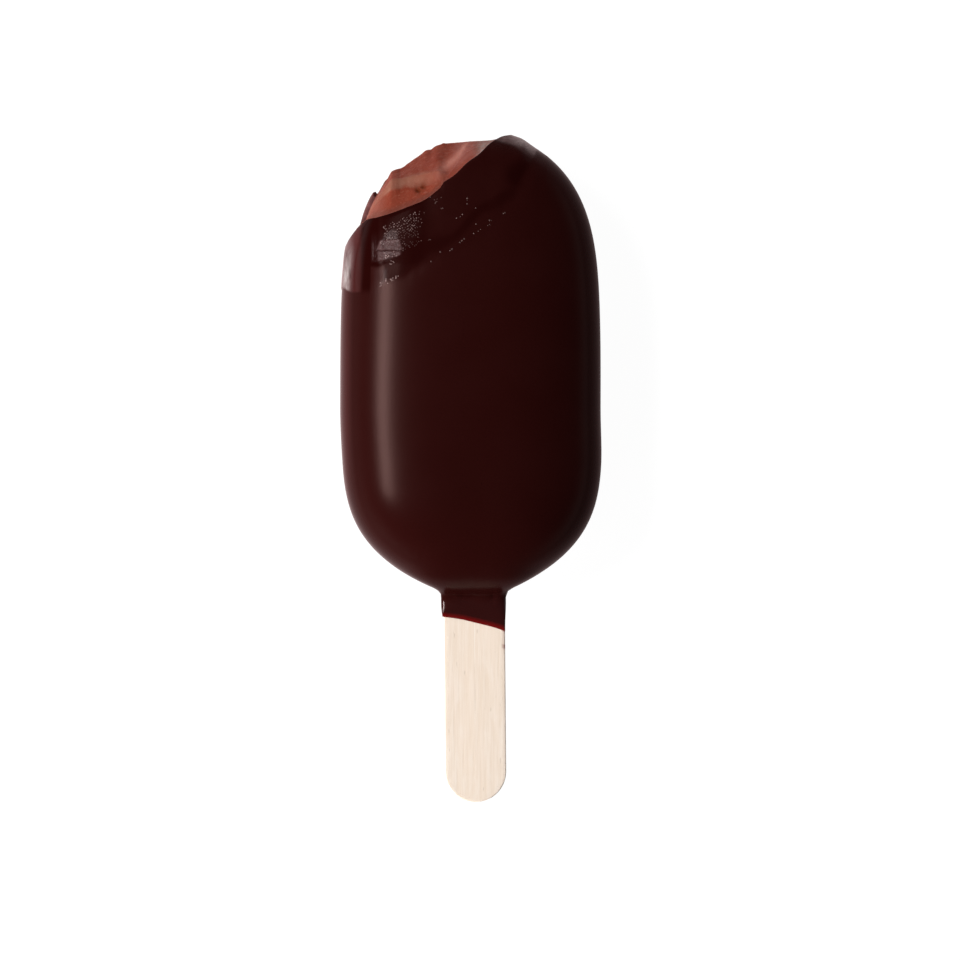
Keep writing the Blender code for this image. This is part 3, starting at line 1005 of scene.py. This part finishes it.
def bite_masks(cap, depth, pit):
    """What the ice cream's finish shows on the bitten face."""
    x = cap[0, :, 0]
    past = (depth - ridge_depth(x)) / (1 - ridge_depth(x)) + 0.05 * relief(cap * [1, 1, 0.3], 1.5, 13)
    left = blend(-3.5, -6.0, x)
    above = cap[..., 1] - front_edge(x)
    height = above / np.maximum(far_edge(x) - front_edge(x), 0.3)
    highlight_streak = hill(height, straight_lines(STREAK_LINE, x) - 0.03, 0.14)
    painted_ridge_light = span(past, -0.05, 0.06, 0.08, 0.32)
    melted_and_highlit = 0.85 + 0.5 * relief(cap, 1.2, 18)
    return {
        "near_mark": blend(0.06, -0.05, past) * left,
        "painted_ridge_light": painted_ridge_light * left * blend(-4.5, -13.0, x) ** 0.6,
        "highlight_streak": highlight_streak * span(x, -7.5, -4.5, -1.0, 0.0),
        "pink": blend(-4.5, -1.5, x) * blend(0.05, 0.3, height) * blend(1.5, 0.0, x),
        "shade": blend(-19.6, -18.2, x) * blend(1.5, 0.2, above) * blend(-3.5, -5.0, x),
        "edge": blend(0.035, 0.0, depth) + blend(0.965, 1.0, depth),
        "corner": blend(-15.6, -18.0, x),
        "melted_and_highlit": blend(0.0, 2.6, x) * melted_and_highlit * blend(1.15, 0.75, depth),
        "pit": pit,
    }


def bitten_face(x, depth, start, end):
    """The bitten surface from the front lip to the back lip, and where its pits are."""
    side = span(x, start, start + 3.0, end - 3.0, end)
    near = CAP_END_INSET + (CAP_FRONT_INSET - CAP_END_INSET) * side
    far = CAP_END_INSET + (CAP_BACK_INSET - CAP_END_INSET) * side
    front_z = MIDDLE_Z + reach_at(x, front_edge(x), near)
    back_z = MIDDLE_Z - reach_at(x, far_edge(x), far)
    z = front_z + (back_z - front_z) * depth
    cap = np.stack(np.broadcast_arrays(x, bite_height(x, depth), z), axis=-1).copy()

    inner = np.clip(np.minimum(depth, 1 - depth) / 0.06, 0, 1) * side
    bumps = 0.16 * relief(cap, 3.4, 4) + 0.07 * relief(cap, 1.1, 5) + 0.035 * relief(cap, 0.4, 6)
    across, along = cap[..., 0], cap[..., 1]
    pits = [np.exp(-((across - x0) ** 2 + (along - y0) ** 2) / spread) for x0, y0, spread in PITS]
    pit = np.maximum(*pits) * (depth < 0.9)
    cap[..., 1] += bumps * (0.35 + 0.65 * inner) - 0.4 * pit
    return cap, pit


def make_ice_cream(finish):
    """The filling: the bitten face, and a skirt from its border down inside the shell."""
    columns, rows = BITE_GRID
    start, end = bite_span(CAP_END_INSET)
    x = np.linspace(start, end, columns)[None, :]
    depth = np.linspace(0, 1, rows)[:, None]
    depth = 0.5 - 0.5 * np.cos(math.pi * depth) * (0.6 + 0.4 * np.abs(np.cos(math.pi * depth)))
    cap, pit = bitten_face(x, depth, start, end)
    masks = bite_masks(cap, depth, pit)

    index = numbered(rows, columns)
    border = np.concatenate([index[0, :], index[1:, -1], index[-1, -2::-1], index[-2:0:-1, 0]])
    skirt = make_skirt(cap.reshape(-1, 3)[border])
    points = np.concatenate([cap.reshape(-1, 3), skirt.reshape(-1, 3)])
    rings = rows * columns + numbered(*skirt.shape[:2])
    faces = np.concatenate([grid_faces(index), grid_faces(np.vstack([border, rings]), closed_columns=True)])
    for name, values in masks.items():
        values = np.broadcast_to(values, (rows, columns)).ravel()
        masks[name] = np.concatenate([values, np.tile(values[border], skirt.shape[0])])
    make_piece("bitten_ice_cream", points, faces, finish, "ice_cream", masks)


def make_skirt(border):
    """Rings from the bite's edge down inside the chocolate, round the foot and up along the stick."""
    x, y, z = border.T
    width, thickness = body_section(y, 0.7)
    power = SECTION_POWER / 2
    up = np.sign(z - MIDDLE_Z) * (np.abs(z - MIDDLE_Z) / thickness) ** power
    across = np.sign(x - body_x(y)) * (np.abs(x - body_x(y)) / width) ** power
    angle = np.arctan2(up, across)
    inset = 0.38 + 0.54 * blend(-3.0, 3.0, z - MIDDLE_Z)
    rings = [border - [0, 0.3, 0], (border - [0, 0.9, 0] + on_body(y - 0.9, angle, inset)) / 2]
    for drop, more in ((1.8, 0.02), (3.4, 0.05), (4.4, 0.2)):
        rings.append(on_body(y - drop, angle, inset + more))
    for share in np.linspace(0.03, 1, 14):
        rings.append(on_body((y - 5.2) * (1 - share) + FILLING_FOOT * share, angle, FILLING_INSET))
    slot_end = STICK_HIGH[1] + 0.3
    rings.append(on_stick(np.full_like(y, FILLING_FOOT), angle, 0.1))
    rings.append(on_stick(np.full_like(y, slot_end), angle, 0.1))
    rings.append(np.full_like(border, [stick_x(slot_end), slot_end, MIDDLE_Z]))
    return np.array(rings)


# ---- the stick ----

def make_stick(finish):
    """Rings from the middle line of the front face, over the soft edge, to the middle line of the back."""
    half_length = STICK_LENGTH / 2
    straight = half_length - STICK_HALF_WIDTH
    quarter = np.linspace(0, math.pi / 2, 25)
    sides = np.linspace(straight, -straight, 200)[1:-1]
    soft = 0.25
    insets = [5.87, 4.4, 2.9, 1.5, 0.8]
    heights = [STICK_HALF_THICKNESS] * len(insets)
    for turn in np.linspace(0, math.pi / 2, 7):
        insets.append(soft * (1 - math.sin(turn)))
        heights.append(STICK_HALF_THICKNESS - soft * (1 - math.cos(turn)))
    rings = []
    for inset, height in [*zip(insets, heights), *zip(insets[::-1], [-h for h in heights[::-1]])]:
        radius = STICK_HALF_WIDTH - inset
        right = [(radius * math.sin(t), straight + radius * math.cos(t)) for t in quarter]
        right += [(radius, y) for y in sides]
        right += [(radius * math.cos(t), -straight - radius * math.sin(t)) for t in quarter]
        left = [(-x, y) for x, y in right[-2:0:-1]]
        rings.append([(x, y, height) for x, y in right + left])
    points = np.array(rings)
    uneven = 0.03 * relief(points * [0.3, 0.12, 1], 1.2, 7)
    points[..., 0] += uneven * np.sign(points[..., 0])
    cosine, sine = math.cos(STICK_TURN), math.sin(STICK_TURN)
    points[..., :2] = points[..., :2] @ np.array([[cosine, sine], [-sine, cosine]])
    points += STICK_MIDDLE
    y = points[..., 1]
    smear = blend(-31.6, -30.9, y) + 0.25 * blend(-37.0, -33.0, y) + 0.8 * hill(y, -34.2, 0.35)
    smear = smear * blend(5.2, 5.75, points[..., 0] - stick_x(y))
    faces = grid_faces(numbered(*y.shape), closed_columns=True)
    make_piece("wooden_stick", points, faces, finish, "stick", {"smear": smear})


# ---- the studio ----

def make_lamp(name, place, size, shine):
    """A flat lamp that faces the bar, with the given brightness over its face."""
    lamp = bpy.data.lights.new(name, "AREA")
    lamp.shape = "RECTANGLE"
    lamp.size, lamp.size_y = size
    lamp.energy = shine * math.pi * size[0] * size[1]
    panel = add_object(name, lamp)
    panel.location = place
    panel.rotation_euler = (Vector(LAMP_TARGET) - panel.location).to_track_quat("-Z", "Y").to_euler()
    panel.visible_camera = False
    return panel


def make_floor():
    """A pale table that glows a little, so that the bar throws hardly any shadow."""
    bpy.ops.mesh.primitive_plane_add(size=FLOOR_SIZE)
    floor = bpy.context.object
    floor.name = "pale_floor"
    pale = Finish("pale_floor", Roughness=0.9, Specular_IOR_Level=0.0, Emission_Strength=0.97)
    pale.wear(Base_Color=(0.12, 0.12, 0.12), Emission_Color=(1.0, 1.0, 1.0))
    floor.data.materials.append(pale.material)
    floor.visible_glossy = False


def make_world():
    """A dark ceiling over bright walls, brightest at the left. The camera itself sees plain white."""
    world = bpy.data.worlds.new("studio")
    world.use_nodes = True
    room = Nodes(world.node_tree)
    toward = room.node("ShaderNodeTexCoord", output="Generated")
    level = room.vector("NORMALIZE", room.vector("MULTIPLY", toward, (1, 1, 0)))
    leftward = room.vector("DOT_PRODUCT", level, (-1, 0.1, 0), "Value")
    height = room.node("ShaderNodeSeparateXYZ", None, {0: toward}, "Z")
    walls = (WALL_LIGHT + WALL_LIGHT_SIDE * leftward) * (1 + 0.25 * height) * height.between(*WALL_TOP)
    glow = GLOW_LIGHT[0] * leftward.between(0.0, 0.9) + GLOW_LIGHT[1] * leftward.between(-0.3, -1.0)
    glow = glow * height.between(*GLOW_TOP) * height.between(-0.05, 0.05)
    light = walls + glow + CEILING_LIGHT
    seen = room.node("ShaderNodeLightPath", output="Is Camera Ray")
    warmth = room.mix(height.between(*WALL_TOP), (1.0, 1.0, 1.0), (1.0, 0.76, 0.76))
    bright = room.node("ShaderNodeBackground", None, {"Color": warmth, "Strength": light})
    plain = room.node("ShaderNodeBackground", None, {"Color": (1, 1, 1, 1), "Strength": 1.0})
    choice = room.node("ShaderNodeMixShader", None, {0: seen, 1: bright, 2: plain})
    world.node_tree.links.new(choice.socket, world.node_tree.nodes["World Output"].inputs["Surface"])
    bpy.context.scene.world = world


def make_camera():
    lens = bpy.data.cameras.new("camera")
    lens.lens = FAR_CAMERA
    lens.sensor_width = SENSOR
    lens.clip_end = 10
    camera = add_object("camera", lens)
    distance = VIEW_WIDTH * FAR_CAMERA / SENSOR
    camera.location = Vector((*VIEW_CENTRE, MIDDLE_Z + distance)) * MM
    bpy.context.scene.camera = camera


def make_studio():
    make_floor()
    make_world()
    make_camera()
    make_lamp("lamp", LAMP_PLACE, LAMP_SIZE, LAMP_SHINE)
    fill = make_lamp("fill", FILL_PLACE, FILL_SIZE, FILL_SHINE)
    fill.visible_glossy = False
    bpy.context.scene.view_settings.view_transform = "Standard"


make_specks(fresh_drops(), make_coating(dark_chocolate()))
make_ice_cream(bitten_ice_cream())
make_stick(pale_wood())
make_studio()
